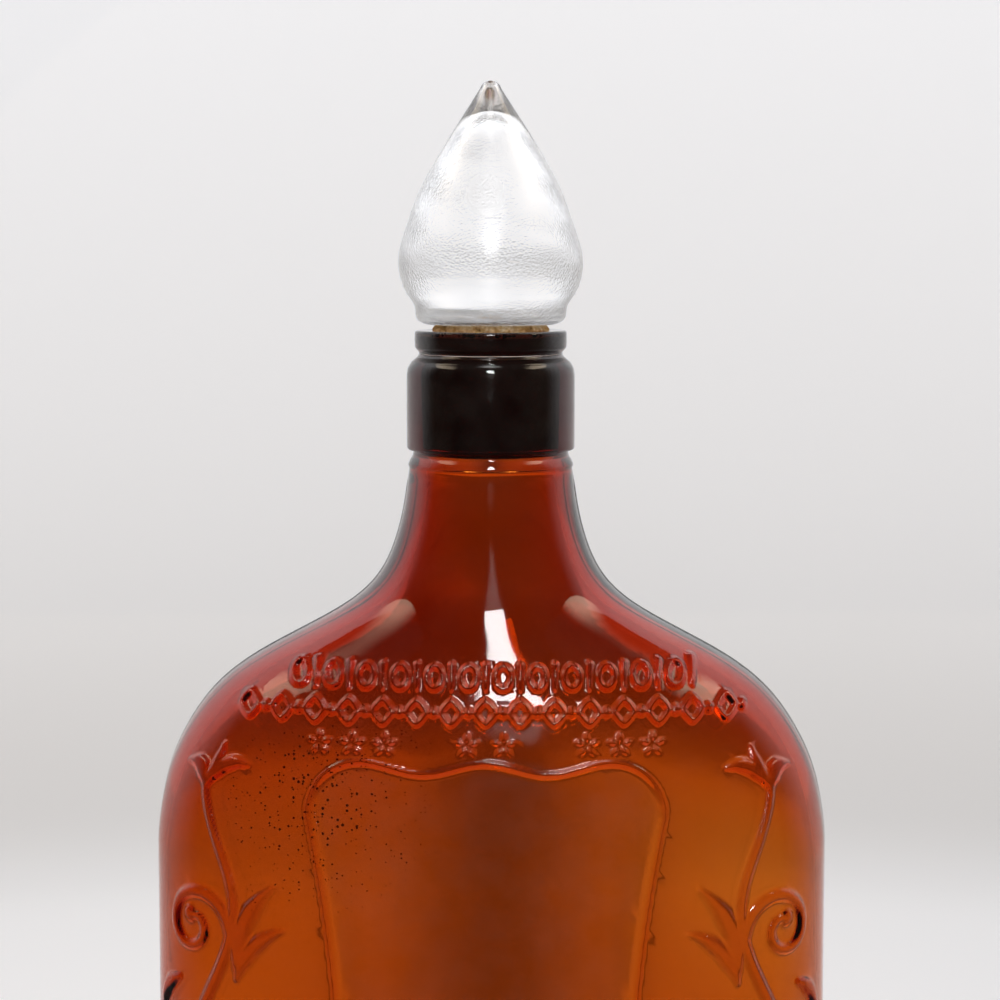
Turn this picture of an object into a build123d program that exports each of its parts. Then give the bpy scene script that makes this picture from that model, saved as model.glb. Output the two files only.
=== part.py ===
from build123d import *
import os
from math import cos, pi, sin

# A flat oval liquor bottle in amber glass, with a hollow clear glass stopper seated in a cork sleeve.
# The origin is the middle of the foot, +Z is up, and the front, with the label panel, faces -Y.
# All lengths are in millimetres.

# The bottle's outside
bottle_height = 245.0  # foot to the top of the lip
body_width = 128.6  # over the moulded ornament and the seams at the sides
body_depth = 62.0
body_squareness = 2.4  # superellipse exponent of the body's plan, where 2 is an ellipse
shoulder_height = 72.8  # from the neck down to the full body
neck_radius = 15.45
heel_radius = 9.0

# The finish, from the lip down
lip_radius = 14.4
lip_height = 3.1
lip_rounding = 0.45
lip_undercut_height = 1.2
upper_groove_radius = 13.45
upper_groove_height = 0.5
collar_slope_height = 2.6
collar_radius = 15.95
collar_height = 15.2
collar_rounding = 0.9
lower_groove_radius = 14.7
lower_groove_height = 1.0
ring_slope_height = 1.7
edge_rounding = 0.3
seam_step = 0.25  # how far the finish, laid on hot, stands out from the neck
seam_lap = 0.3  # how far it reaches down over the neck

# The bottle's inside
wall = 3.0
neck_wall = 4.5
floor_height = 7.5
inner_heel_radius = 8.0
mouth_radius = 10.9
mouth_depth = 2.4
bore_radius = 9.4  # under the flared mouth
bore_taper = 0.4  # what the bore loses in radius down to its end
bore_depth = 24.0
throat_step = 0.35  # where the tooled bore meets the blown inside of the neck
throat_lap = 0.5
foot_width = 4.0  # the flat ring that the bottle stands on
push_up_depth = 3.5
push_up_slope = 6.0

# The label panel on the front. The back is plain.
panel_width = 64.4
panel_height = 132.0
panel_top_height = 167.0
panel_waist = 6.0  # how far each side draws in at mid height
panel_wave = 2.0  # from a crest of the scalloped edge to a hollow
panel_wave_length = 23.0
panel_recess = 0.8
rim_width = 1.4
rim_height = 0.7

# The stopper
finial_height = 45.7
finial_radius = 17.55
finial_seat_gap = 1.2  # the lip's top face to the underside of the finial
cavity_height = 36.1
cavity_radius = 15.1
cavity_floor = 2.6
peg_radius = 5.8
peg_hole_radius = 2.6
peg_length = 25.0
peg_rounding = 0.9
grip_groove_count = 3
grip_groove_depth = 0.5
grip_groove_pitch = 5.0

# The cork sleeve
cork_clearance = 0.06
cork_length = 22.6
cork_chamfer = 0.8

overrun = 5.0

# Heights worked out from the above
lip_top = bottle_height
lip_bottom = lip_top - lip_height
upper_groove_top = lip_bottom - lip_undercut_height
upper_groove_bottom = upper_groove_top - upper_groove_height
collar_top = upper_groove_bottom - collar_slope_height
collar_bottom = collar_top - collar_height
ring_top = collar_bottom - lower_groove_height
shoulder_top = ring_top - ring_slope_height
shoulder_bottom = shoulder_top - shoulder_height
bore_bottom = lip_top - bore_depth
finial_base = lip_top + finial_seat_gap

# The shoulder, from the neck down: how far down it, then how much of the growth in width, in depth and
# in squareness from the neck to the body is reached there.
shoulder_shares = (
    (0.000, 0.000, 0.000, 0.00),
    (0.100, 0.018, 0.040, 0.00),
    (0.200, 0.055, 0.110, 0.05),
    (0.260, 0.093, 0.165, 0.10),
    (0.310, 0.145, 0.220, 0.15),
    (0.360, 0.230, 0.295, 0.22),
    (0.415, 0.368, 0.405, 0.33),
    (0.470, 0.523, 0.525, 0.45),
    (0.520, 0.647, 0.635, 0.56),
    (0.575, 0.749, 0.740, 0.67),
    (0.630, 0.821, 0.825, 0.76),
    (0.700, 0.888, 0.905, 0.85),
    (0.790, 0.948, 0.960, 0.93),
    (0.895, 0.985, 0.990, 1.00),
    (1.000, 1.000, 1.000, 1.00),
)
round_squareness = 2.0
oval_steps = 36

# The finial's outline from its underside to its tip, and the hollow's from its floor to its dome: shares
# of the radius, then of the height.
finial_shares = (
    (0.650, 0.000),
    (0.770, 0.022),
    (0.822, 0.054),
    (0.913, 0.125),
    (0.984, 0.195),
    (1.000, 0.262),
    (0.963, 0.337),
    (0.902, 0.407),
    (0.762, 0.549),
    (0.563, 0.692),
    (0.341, 0.832),
    (0.118, 0.965),
    (0.075, 0.989),
    (0.043, 0.997),
    (0.000, 1.000),
)
cavity_shares = (
    (0.600, 0.000),
    (0.830, 0.045),
    (0.967, 0.130),
    (1.000, 0.255),
    (0.861, 0.435),
    (0.702, 0.596),
    (0.490, 0.768),
    (0.265, 0.936),
    (0.000, 1.000),
)


def signed_power(value, power):
    return abs(value) ** power * (1 if value >= 0 else -1)


def oval(half_width, half_depth, squareness):
    """A superellipse face, centred on the origin."""
    turns = [2 * pi * step / oval_steps for step in range(oval_steps)]
    points = [
        (
            half_width * signed_power(cos(turn), 2 / squareness),
            half_depth * signed_power(sin(turn), 2 / squareness),
        )
        for turn in turns
    ]
    with BuildSketch() as face:
        with BuildLine():
            Spline(*points, periodic=True)
        make_face()
    return face.sketch


def shoulder_sections(body_inset, neck_inset, drop):
    """Height, half width, half depth and squareness of each shoulder section. They are drawn in from the
    outside by neck_inset at the neck and body_inset at the body, and lowered by drop."""
    sections = []
    for down_share, width_share, depth_share, square_share in shoulder_shares:
        inset = neck_inset + width_share * (body_inset - neck_inset)
        sections.append(
            (
                shoulder_top - down_share * shoulder_height - drop,
                neck_radius + width_share * (body_width / 2 - neck_radius) - inset,
                neck_radius + depth_share * (body_depth / 2 - neck_radius) - inset,
                round_squareness + square_share * (body_squareness - round_squareness),
            )
        )
    return sections


def flask_form(body_inset, neck_inset, bottom, drop, bottom_rounding):
    """The flask's form without its finish, from bottom up to the neck."""
    with BuildPart() as form:
        with BuildSketch(Plane.XY.offset(bottom)):
            add(oval(body_width / 2 - body_inset, body_depth / 2 - body_inset, body_squareness))
        extrude(amount=shoulder_bottom - drop - bottom)
        fillet(form.faces().sort_by(Axis.Z)[0].edges(), radius=bottom_rounding)
        for height, half_width, half_depth, squareness in shoulder_sections(
            body_inset, neck_inset, drop
        ):
            with BuildSketch(Plane.XY.offset(height)):
                add(oval(half_width, half_depth, squareness))
        loft()
    return form.part


def panel_face(growth):
    """The label panel's outline, scalloped at the top and foot and waisted at the sides. It is grown all
    round by growth."""
    half_width = panel_width / 2
    crest = panel_height / 2 + growth
    side = panel_height / 2 + panel_wave_length - half_width
    hollow = crest - panel_wave
    waist = half_width - panel_waist
    with BuildSketch() as face:
        with BuildLine():
            scallops = Spline(
                (-panel_wave_length, crest),
                (-panel_wave_length / 2, hollow),
                (0, crest),
                (panel_wave_length / 2, hollow),
                (panel_wave_length, crest),
                tangents=((1, 0), (1, 0)),
            )
            corner = TangentArc(scallops @ 1, (half_width + growth, side), tangent=(1, 0))
            flank = ThreePointArc(corner @ 1, (waist + growth, 0), (half_width + growth, -side))
            mirror((scallops, corner), about=Plane.XZ)
            mirror((corner, flank), about=Plane.YZ)
            mirror(mirror(corner, about=Plane.XZ, mode=Mode.PRIVATE), about=Plane.YZ)
        make_face()
    return face.sketch


def panel_prism(growth):
    """The panel's outline carried from the middle of the bottle out through its front."""
    middle = (0, 0, panel_top_height - panel_height / 2)
    panel_plane = Plane(middle, x_dir=(1, 0, 0), z_dir=(0, -1, 0))
    with BuildPart() as prism:
        with BuildSketch(panel_plane):
            add(panel_face(growth))
        extrude(amount=body_depth)
    return prism.part


# The bottle
with BuildPart() as bottle:
    add(flask_form(0, 0, 0, 0, heel_radius))

    # The finish, turned about the neck
    with BuildSketch(Plane.XZ):
        with BuildLine():
            outside = FilletPolyline(
                (neck_radius + seam_step, shoulder_top - seam_lap),
                (lower_groove_radius, ring_top),
                (lower_groove_radius, collar_bottom),
                (collar_radius, collar_bottom),
                (collar_radius, collar_top),
                (upper_groove_radius, upper_groove_bottom),
                (upper_groove_radius, upper_groove_top),
                (lip_radius, lip_bottom),
                (lip_radius, lip_top),
                (0, lip_top),
                radius=(
                    edge_rounding,
                    edge_rounding,
                    collar_rounding,
                    collar_rounding,
                    edge_rounding / 2,
                    edge_rounding / 2,
                    edge_rounding,
                    lip_rounding,
                ),
            )
            Polyline(outside @ 1, (0, shoulder_top - seam_lap), outside @ 0)
        make_face()
    revolve(axis=Axis.Z)

    # The label panel, sunk into the front inside a raised rim
    with BuildPart(mode=Mode.PRIVATE) as rims:
        add(panel_prism(rim_width))
        add(panel_prism(0), mode=Mode.SUBTRACT)
        raised = -rim_height
        add(flask_form(raised, raised, 0, 0, heel_radius), mode=Mode.INTERSECT)
    add(rims.part)
    with BuildPart(mode=Mode.PRIVATE) as recess:
        add(panel_prism(0))
        add(flask_form(panel_recess, panel_recess, panel_recess, 0, heel_radius), mode=Mode.SUBTRACT)
    add(recess.part, mode=Mode.SUBTRACT)

    # The hollow, open to the mouth through the bore
    add(flask_form(wall, neck_wall, floor_height, wall, inner_heel_radius), mode=Mode.SUBTRACT)
    with BuildSketch(Plane.XZ):
        with BuildLine():
            Polyline(
                (0, lip_top + overrun),
                (mouth_radius, lip_top + overrun),
                (mouth_radius, lip_top),
                (bore_radius, lip_top - mouth_depth),
                (bore_radius - bore_taper, bore_bottom),
                (neck_radius - neck_wall - throat_step, shoulder_top - wall - throat_lap),
                (0, shoulder_top - wall - throat_lap),
                close=True,
            )
        make_face()
    revolve(axis=Axis.Z, mode=Mode.SUBTRACT)

    # The push-up under the foot
    push_up_inset = heel_radius + foot_width
    for height, inset in ((0, push_up_inset), (push_up_depth, push_up_inset + push_up_slope)):
        with BuildSketch(Plane.XY.offset(height)):
            add(oval(body_width / 2 - inset, body_depth / 2 - inset, body_squareness))
    loft(mode=Mode.SUBTRACT)

bottle.part.label = "bottle"

# The glass stopper: a hollow flame-shaped finial over a hollow peg
with BuildPart() as glass_stopper:
    with BuildSketch(Plane.XZ):
        with BuildLine():
            finial_points = [
                (radius_share * finial_radius, finial_base + height_share * finial_height)
                for radius_share, height_share in finial_shares
            ]
            Spline(*finial_points)
            Polyline(finial_points[-1], (0, finial_base), finial_points[0])
        make_face()
    revolve(axis=Axis.Z)
    with BuildSketch(Plane.XY.offset(finial_base)):
        Circle(peg_radius)
    extrude(amount=-peg_length)
    fillet(glass_stopper.edges().sort_by(Axis.Z)[0], radius=peg_rounding)

    # Grooves that hold the cork on the peg
    for groove in range(grip_groove_count):
        groove_height = finial_base - peg_length + grip_groove_pitch * (groove + 1)
        with Locations((0, 0, groove_height)):
            Torus(peg_radius + grip_groove_depth, 2 * grip_groove_depth, mode=Mode.SUBTRACT)

    # The hollow, blown through the peg
    with BuildSketch(Plane.XZ):
        with BuildLine():
            cavity_base = finial_base + cavity_floor
            cavity_points = [
                (radius_share * cavity_radius, cavity_base + height_share * cavity_height)
                for radius_share, height_share in cavity_shares
            ]
            Spline(*cavity_points)
            Polyline(cavity_points[-1], (0, cavity_base), cavity_points[0])
        make_face()
    revolve(axis=Axis.Z, mode=Mode.SUBTRACT)
    with BuildSketch(Plane.XY.offset(cavity_base)):
        Circle(peg_hole_radius)
    extrude(amount=-(cavity_floor + peg_length), mode=Mode.SUBTRACT)

glass_stopper.part.label = "glass_stopper"

# The cork sleeve, a turned taper with a flared head that fills the mouth
with BuildPart() as cork_sleeve:
    with BuildSketch(Plane.XZ):
        cork_bottom = lip_top - cork_length
        cork_bore = peg_radius + cork_clearance
        taper_share = (cork_length - mouth_depth) / (bore_depth - mouth_depth)
        with BuildLine():
            Polyline(
                (cork_bore, finial_base - cork_clearance),
                (mouth_radius - cork_clearance - cork_chamfer, finial_base - cork_clearance),
                (mouth_radius - cork_clearance, lip_top),
                (bore_radius - cork_clearance, lip_top - mouth_depth),
                (bore_radius - bore_taper * taper_share - cork_clearance, cork_bottom),
                (cork_bore, cork_bottom),
                close=True,
            )
        make_face()
    revolve(axis=Axis.Z)
    chamfer(cork_sleeve.edges().group_by(Axis.Z)[0].sort_by(SortBy.RADIUS)[-1], length=cork_chamfer)

cork_sleeve.part.label = "cork_sleeve"

os.makedirs("parts", exist_ok=True)
export_step(bottle.part, "parts/bottle.step")
export_step(glass_stopper.part, "parts/glass_stopper.step")
export_step(cork_sleeve.part, "parts/cork_sleeve.step")

inside = flask_form(wall, neck_wall, floor_height, wall, inner_heel_radius)
print(f"the hollow below the neck holds {inside.volume / 1000:.0f} ml")
print(f"the bottle has {bottle.part.volume / 1000:.1f} ml of glass")
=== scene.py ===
# %% [markdown]
# # A flat oval liquor bottle in amber glass
#
# An old mould-blown bottle, oval in plan like a flask. Its shoulder and sides carry raised
# ornament, a label panel is sunk into the front, and a hollow clear glass stopper sits in the neck
# on a cork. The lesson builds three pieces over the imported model: the amber bottle, the stopper and
# the cork. Glass shows its inside as well as its outside, so each piece is one closed skin with a
# real wall. Every shape is worked out with numpy on a grid, in millimetres, and turned to metres at
# the end.

# %% The frame
import math

import bpy
import numpy as np
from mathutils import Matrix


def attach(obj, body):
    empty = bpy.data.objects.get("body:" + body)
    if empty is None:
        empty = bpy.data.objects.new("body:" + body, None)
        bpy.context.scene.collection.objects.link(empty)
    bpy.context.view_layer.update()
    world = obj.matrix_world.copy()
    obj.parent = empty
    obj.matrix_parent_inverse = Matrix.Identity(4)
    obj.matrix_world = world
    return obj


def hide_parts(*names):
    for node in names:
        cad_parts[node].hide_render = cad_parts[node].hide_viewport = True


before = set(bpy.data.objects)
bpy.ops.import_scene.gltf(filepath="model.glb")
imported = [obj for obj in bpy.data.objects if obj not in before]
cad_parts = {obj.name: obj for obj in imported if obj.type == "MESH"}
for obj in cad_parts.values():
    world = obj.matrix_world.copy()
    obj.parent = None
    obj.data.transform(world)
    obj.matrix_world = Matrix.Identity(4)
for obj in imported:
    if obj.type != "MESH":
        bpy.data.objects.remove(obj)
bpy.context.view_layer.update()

# %% [markdown]
# ## Small tools
#
# A mesh is built from one array of points and a list of faces, all at once, which is far quicker
# than adding points one by one. Colours are written the way a paint chart gives them, as sRGB hex,
# and turned into the linear light that Blender works in.

# %% Mesh and colour tools
MM = 0.001


def linear(hex_colour, alpha=1.0):
    """An sRGB hex colour as linear RGBA: each channel c becomes ((c + 0.055) / 1.055) ** 2.4, or
    c / 12.92 near black."""
    channels = np.array([int(hex_colour[i : i + 2], 16) / 255 for i in (1, 3, 5)])
    curved = np.where(channels <= 0.04045, channels / 12.92, ((channels + 0.055) / 1.055) ** 2.4)
    return (*curved.tolist(), alpha)


def mesh_object(name, points_mm, corners, counts, material, wear=None):
    """A smooth-shaded object from points, the faces' corners in one long row, and each face's
    count. Points that no face uses are left out. wear, if given, is kept on the points as an
    attribute that the material reads: 1 where the glass is frosted or dusty."""
    used, corners = np.unique(corners, return_inverse=True)
    points_mm = points_mm[used]
    mesh = bpy.data.meshes.new(name)
    starts = np.concatenate([[0], np.cumsum(counts)[:-1]])
    mesh.vertices.add(len(points_mm))
    mesh.vertices.foreach_set("co", (points_mm * MM).astype(np.float32).ravel())
    mesh.loops.add(len(corners))
    mesh.loops.foreach_set("vertex_index", np.asarray(corners, np.int32))
    mesh.polygons.add(len(counts))
    mesh.polygons.foreach_set("loop_start", starts.astype(np.int32))
    mesh.polygons.foreach_set("loop_total", np.asarray(counts, np.int32))
    mesh.materials.append(material)
    if wear is not None:
        layer = mesh.attributes.new("wear", "FLOAT", "POINT")
        layer.data.foreach_set("value", wear[used].astype(np.float32))
    mesh.update(calc_edges=True)
    mesh.validate()
    mesh.shade_smooth()
    piece = bpy.data.objects.new(name, mesh)
    bpy.context.scene.collection.objects.link(piece)
    print(f"{name}: {len(points_mm)} points, {int(np.sum(np.asarray(counts) - 2))} triangles")
    return piece


def smooth_step(low, high, value):
    """0 below low, 1 above high, and 3t^2 - 2t^3 between."""
    t = np.clip((value - low) / (high - low), 0, 1)
    return t * t * (3 - 2 * t)


# %% [markdown]
# ## The camera
#
# The photograph was taken from about half a metre, with the camera a little above the lip and
# tipped down. The long lens keeps the neck and the shoulder in proportion. The numbers came from
# fitting the bottle's turned rings, whose ellipses tell the tilt, and its outline, whose taper
# tells the distance.

# %% Camera
LIP_HEIGHT = 245.0
CAMERA_DISTANCE = 531.0  # from the bottle's axis
CAMERA_ABOVE_LIP = 20.4
CAMERA_TILT = 5.67  # degrees down
CAMERA_AZIMUTH = 2.0  # degrees to the right of the bottle's front
AIM_OFFSET = 0.19  # degrees that the aim passes right of the axis

camera_data = bpy.data.cameras.new("studio_camera")
camera_data.sensor_width = 36.0
camera_data.lens = 100.8
camera_data.clip_start = 0.01
camera = bpy.data.objects.new("studio_camera", camera_data)
bpy.context.scene.collection.objects.link(camera)
camera_turn = math.radians(CAMERA_AZIMUTH)
camera.location = (
    CAMERA_DISTANCE * MM * math.sin(camera_turn),
    -CAMERA_DISTANCE * MM * math.cos(camera_turn),
    (LIP_HEIGHT + CAMERA_ABOVE_LIP) * MM,
)
camera.rotation_euler = (
    math.radians(90 - CAMERA_TILT),
    0,
    math.radians(CAMERA_AZIMUTH - AIM_OFFSET),
)
bpy.context.scene.camera = camera
print("camera at", [round(c, 4) for c in camera.location])

# %% [markdown]
# ## The bottle's form
#
# The body is a superellipse in plan: a shape between an ellipse and a rounded box. Going up the
# shoulder it narrows, fastest at mid height, and becomes the round neck. A lathe can't turn such a
# form and a loft would need many drawn sections. So a table says how much of the change is reached
# at each step down from the neck, and a smooth curve runs through the table.

# %% Superellipse sections
BODY_HALF_WIDTH = 64.0
BODY_HALF_DEPTH = 31.0
BODY_SQUARENESS = 2.4
NECK_RADIUS = 15.45
SHOULDER_TOP = 219.7
SHOULDER_HEIGHT = 72.8
HEEL_RADIUS = 9.0

# Share of the shoulder's height going down, then the shares of the width, depth and squareness
# reached.
SHOULDER_TABLE = np.array(
    [
        (0.000, 0.000, 0.000, 0.00),
        (0.100, 0.018, 0.040, 0.00),
        (0.200, 0.055, 0.110, 0.05),
        (0.260, 0.093, 0.165, 0.10),
        (0.310, 0.145, 0.220, 0.15),
        (0.360, 0.230, 0.295, 0.22),
        (0.415, 0.368, 0.405, 0.33),
        (0.470, 0.523, 0.525, 0.45),
        (0.520, 0.647, 0.635, 0.56),
        (0.575, 0.749, 0.740, 0.67),
        (0.630, 0.821, 0.825, 0.76),
        (0.700, 0.888, 0.905, 0.85),
        (0.790, 0.948, 0.960, 0.93),
        (0.895, 0.985, 0.990, 1.00),
        (1.000, 1.000, 1.000, 1.00),
    ]
)


def smooth_through(knots, values, at, start_slope=0.0, end_slope=0.0):
    """A clamped cubic spline: cubics through the knots whose slopes and bends agree where they
    meet."""
    gaps = np.diff(knots)
    rises = np.diff(values) / gaps
    count = len(knots)
    system = np.eye(count)
    right = np.zeros(count)
    right[0], right[-1] = start_slope, end_slope
    inner = np.arange(1, count - 1)
    system[inner, inner - 1] = gaps[1:]
    system[inner, inner] = 2 * (gaps[:-1] + gaps[1:])
    system[inner, inner + 1] = gaps[:-1]
    right[inner] = 3 * (gaps[1:] * rises[:-1] + gaps[:-1] * rises[1:])
    slopes = np.linalg.solve(system, right)
    cell = np.clip(np.searchsorted(knots, at, side="right") - 1, 0, count - 2)
    t = (at - knots[cell]) / gaps[cell]
    return (
        values[cell] * (1 + 2 * t) * (1 - t) ** 2
        + values[cell + 1] * t * t * (3 - 2 * t)
        + gaps[cell] * slopes[cell] * t * (1 - t) ** 2
        - gaps[cell] * slopes[cell + 1] * t * t * (1 - t)
    )


def flask_section(height, body_inset=0.0, neck_inset=0.0, drop=0.0):
    """Half width, half depth and squareness of the flask at each height. The wall's inside is the
    same form, drawn in by the insets and lowered by drop."""
    down = np.clip((SHOULDER_TOP - drop - height) / SHOULDER_HEIGHT, 0, 1)
    knots = SHOULDER_TABLE[:, 0]
    width_share = smooth_through(knots, SHOULDER_TABLE[:, 1], down, 0.12)
    depth_share = smooth_through(knots, SHOULDER_TABLE[:, 2], down, 0.30)
    square_share = smooth_through(knots, SHOULDER_TABLE[:, 3], down)
    inset = neck_inset + width_share * (body_inset - neck_inset)
    return (
        NECK_RADIUS + width_share * (BODY_HALF_WIDTH - NECK_RADIUS) - inset,
        NECK_RADIUS + depth_share * (BODY_HALF_DEPTH - NECK_RADIUS) - inset,
        2 + square_share * (BODY_SQUARENESS - 2),
    )


def around(turn, half_width, half_depth, squareness):
    """x and y on a superellipse: x = a cos|cos|^(2/n - 1), y = b sin|sin|^(2/n - 1)."""
    power = 2 / squareness
    cosine, sine = np.cos(turn), np.sin(turn)
    return (
        half_width * np.sign(cosine) * np.abs(cosine) ** power,
        half_depth * np.sign(sine) * np.abs(sine) ** power,
    )


def even_turns(count):
    """Turns whose points are evenly spaced round the body, how far round each one is, and the whole
    way round."""
    dense = np.linspace(0, 2 * np.pi, 40001)
    x, y = around(dense, BODY_HALF_WIDTH, BODY_HALF_DEPTH, BODY_SQUARENESS)
    length = np.concatenate([[0], np.cumsum(np.hypot(np.diff(x), np.diff(y)))])
    along = np.arange(count) / count * length[-1]
    return np.interp(along, length, dense), along, length[-1]


# %% [markdown]
# ## The grid
#
# The outside is one grid: columns round the plan and rows up the height. The ornament needs points
# less than half a millimetre apart and the plain glass doesn't, and a grid that fine all over would
# have 700,000 triangles. So every fourth line of the fine grid makes the coarse cells, and only the
# cells that carry relief are split.

# %% Grid of the outside
SPLIT = 4  # fine steps in a coarse cell
COLUMNS = 180
RELIEF_BOTTOM = 10.0
RELIEF_TOP = 219.0
ROW_STEP = 1.8  # height of a coarse row
FINE_BAND = (164.0, 187.0)  # where the shoulder's small ornament lies
FINE_BAND_STEP = 1.3
BAND_BLEND = 4.0  # height over which one step passes into the other


def row_heights():
    """Heights of the fine rows, closer together in the shoulder's ornament band."""
    dense = np.linspace(RELIEF_BOTTOM, RELIEF_TOP, 4001)
    in_band = smooth_step(FINE_BAND[0] - BAND_BLEND, FINE_BAND[0], dense) * (
        1 - smooth_step(FINE_BAND[1], FINE_BAND[1] + BAND_BLEND, dense)
    )
    step = ROW_STEP + (FINE_BAND_STEP - ROW_STEP) * in_band
    number = np.concatenate([[0], np.cumsum(np.diff(dense) / step[1:])])
    rows = int(number[-1])
    return np.interp(np.linspace(0, number[-1], rows * SPLIT + 1), number, dense)


fine_heights = row_heights()
fine_turns, along_plan, plan_length = even_turns(COLUMNS * SPLIT)
form = flask_section(fine_heights)
grid_x, grid_y = around(fine_turns[None, :], *(part[:, None] for part in form))
grid_z = np.broadcast_to(fine_heights[:, None], grid_x.shape)
quarter = plan_length / 4
# How far each column lies from the middle of the face that it is on, measured round the body.
from_middle = np.abs(np.mod(along_plan, plan_length / 2) - quarter)
on_front = np.mod(along_plan, plan_length) >= plan_length / 2
print(f"grid of {grid_x.shape} fine points, body {plan_length:.0f} mm round")

# %% [markdown]
# ## Relief
#
# Moulded ornament is a height over the plain glass. It could be a bump in the material, but glass
# bends the light that passes through it, so here it is real shape. Each motif is a stroke: a path
# with a half width at each point. Its top is nearly flat and its sides are steep, as they leave a
# cut mould, and those steep sides catch the light. The height under a point depends on its distance
# to the path.

# %% Stroke tools
relief = np.zeros(grid_x.shape)
dusty = np.zeros(grid_x.shape)  # where dust clings


def bump(share):
    """A rounded ridge across a stroke: cos^2 of a quarter turn, 1 in the middle and 0 at the
    edge."""
    return np.cos(np.clip(share, -1, 1) * np.pi / 2) ** 2


def moulded(share):
    """A stroke's section: flat over the inner third, then an S-curve down to the edge."""
    return 1 - smooth_step(0.35, 1.0, share)


def path_distance(across, up, path):
    """Distance from each point to the path's nearest run, and how far along the path that is, 0 to
    1. On each run it is the distance to start + t * run, with t held between 0 and 1."""
    best = np.full(across.shape, 1e9)
    where = np.zeros(across.shape)
    starts, runs = path[:-1], np.diff(path, axis=0)
    for index, (start, run) in enumerate(zip(starts, runs)):
        t = np.clip(((across - start[0]) * run[0] + (up - start[1]) * run[1]) / (run @ run), 0, 1)
        distance = np.hypot(across - start[0] - t * run[0], up - start[1] - t * run[1])
        closer = distance < best
        best = np.where(closer, distance, best)
        where = np.where(closer, (index + t) / len(runs), where)
    return best, where


def lay_stroke(path, half_width, height, across):
    """Raises the glass of the front under a stroke. across gives each point's sideways place: x for
    ornament set out straight on the face, or the distance round the body for ornament that wraps
    the side. Each point rises by the height times the section at its distance over the half
    width."""
    path = np.asarray(path, float)
    widest = np.max(half_width)
    low, high = path.min(axis=0) - widest, path.max(axis=0) + widest
    inside = (across > low[0]) & (across < high[0]) & (grid_z > low[1]) & (grid_z < high[1])
    rows, columns = np.nonzero(inside & on_front)
    distance, where = path_distance(across[rows, columns], grid_z[rows, columns], path)
    width = np.interp(where, np.linspace(0, 1, np.size(half_width)), np.atleast_1d(half_width))
    thinner = np.minimum(1, width / widest + 0.35)  # a thin end is lower as well
    raised = height * moulded(distance / np.maximum(width, 0.05)) * thinner
    relief[rows, columns] = np.maximum(relief[rows, columns], raised)


# %% [markdown]
# ## The label panel
#
# A paper label was glued in a panel, where it was safe from rubbing. The panel is sunk below the
# glass of the front, inside a thin raised rim. Its top and foot are scalloped and its sides draw in
# towards the middle. Its outline is one closed path, and how far a point sinks follows its distance
# to that path.

# %% Label panel
PANEL_HALF_WIDTH = 32.2
PANEL_TOP = 167.0
PANEL_HEIGHT = 132.0
PANEL_WAIST = 6.0
PANEL_WAVE = 2.0
PANEL_WAVE_LENGTH = 23.0
PANEL_RECESS = 0.45
RIM_HEIGHT = 0.5
RIM_HALF_WIDTH = 0.6
PANEL_EDGE = 0.8  # how far in from the outline the glass goes on sinking
PANEL_REACH = 4.0  # nothing changes further out than this
PANEL_MIDDLE = PANEL_TOP - PANEL_HEIGHT / 2


def panel_outline():
    """The outline from the top's middle clockwise: cosine scallops, quarter-round corners and a
    shallow parabola down each side, mirrored below."""
    half_height = PANEL_HEIGHT / 2
    corner = PANEL_HALF_WIDTH - PANEL_WAVE_LENGTH
    x = np.linspace(0, PANEL_WAVE_LENGTH, 60)
    scallop = half_height - PANEL_WAVE * (1 - np.cos(2 * np.pi * x / PANEL_WAVE_LENGTH)) / 2
    turn = np.linspace(0, np.pi / 2, 16)[1:]
    corner_x = PANEL_WAVE_LENGTH + corner * np.sin(turn)
    corner_z = half_height - corner + corner * np.cos(turn)
    z = np.linspace(half_height - corner, 0, 40)[1:]
    side_x = PANEL_HALF_WIDTH - PANEL_WAIST * (1 - (z / (half_height - corner)) ** 2)
    quarter_path = np.column_stack(
        [np.concatenate([x, corner_x, side_x]), np.concatenate([scallop, corner_z, z])]
    )
    lower = quarter_path[-2::-1] * (1, -1)
    right_half = np.vstack([quarter_path, lower])
    return np.vstack([right_half, right_half[-2::-1] * (-1, 1)]) + (0, PANEL_MIDDLE)


def inside_outline(x, z, outline):
    """True where a ray to the right crosses the outline an odd number of times."""
    crossings = np.zeros(x.shape, bool)
    for (x0, z0), (x1, z1) in zip(outline[:-1], outline[1:]):
        if z0 != z1:
            spans = (z0 > z) != (z1 > z)
            crossings ^= spans & (x < x0 + (z - z0) * (x1 - x0) / (z1 - z0))
    return crossings


def panel_depth(x, z):
    """Distance to the panel's outline: negative inside it and positive outside."""
    outline = panel_outline()
    distance, _ = path_distance(x, z, outline)
    return np.where(inside_outline(x, z, outline), -distance, distance)


def sink_panel():
    """Lowers the glass inside the outline and raises the rim just outside it."""
    outline = panel_outline()
    low, high = outline.min(axis=0) - PANEL_REACH, outline.max(axis=0) + PANEL_REACH
    near = (grid_x > low[0]) & (grid_x < high[0]) & (grid_z > low[1]) & (grid_z < high[1])
    rows, columns = np.nonzero(near & on_front)
    depth = panel_depth(grid_x[rows, columns], grid_z[rows, columns])
    sunk = -PANEL_RECESS * (1 - smooth_step(-PANEL_EDGE, 0.1, depth))
    rim = RIM_HEIGHT * moulded(np.abs(depth - RIM_HALF_WIDTH * 0.9) / RIM_HALF_WIDTH)
    relief[rows, columns] += sunk + rim
    dusty[rows, columns] = 1 - smooth_step(-3.0, 0.0, depth)


sink_panel()
print(f"panel relief {relief.min():.2f} to {relief.max():.2f} mm")

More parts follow.
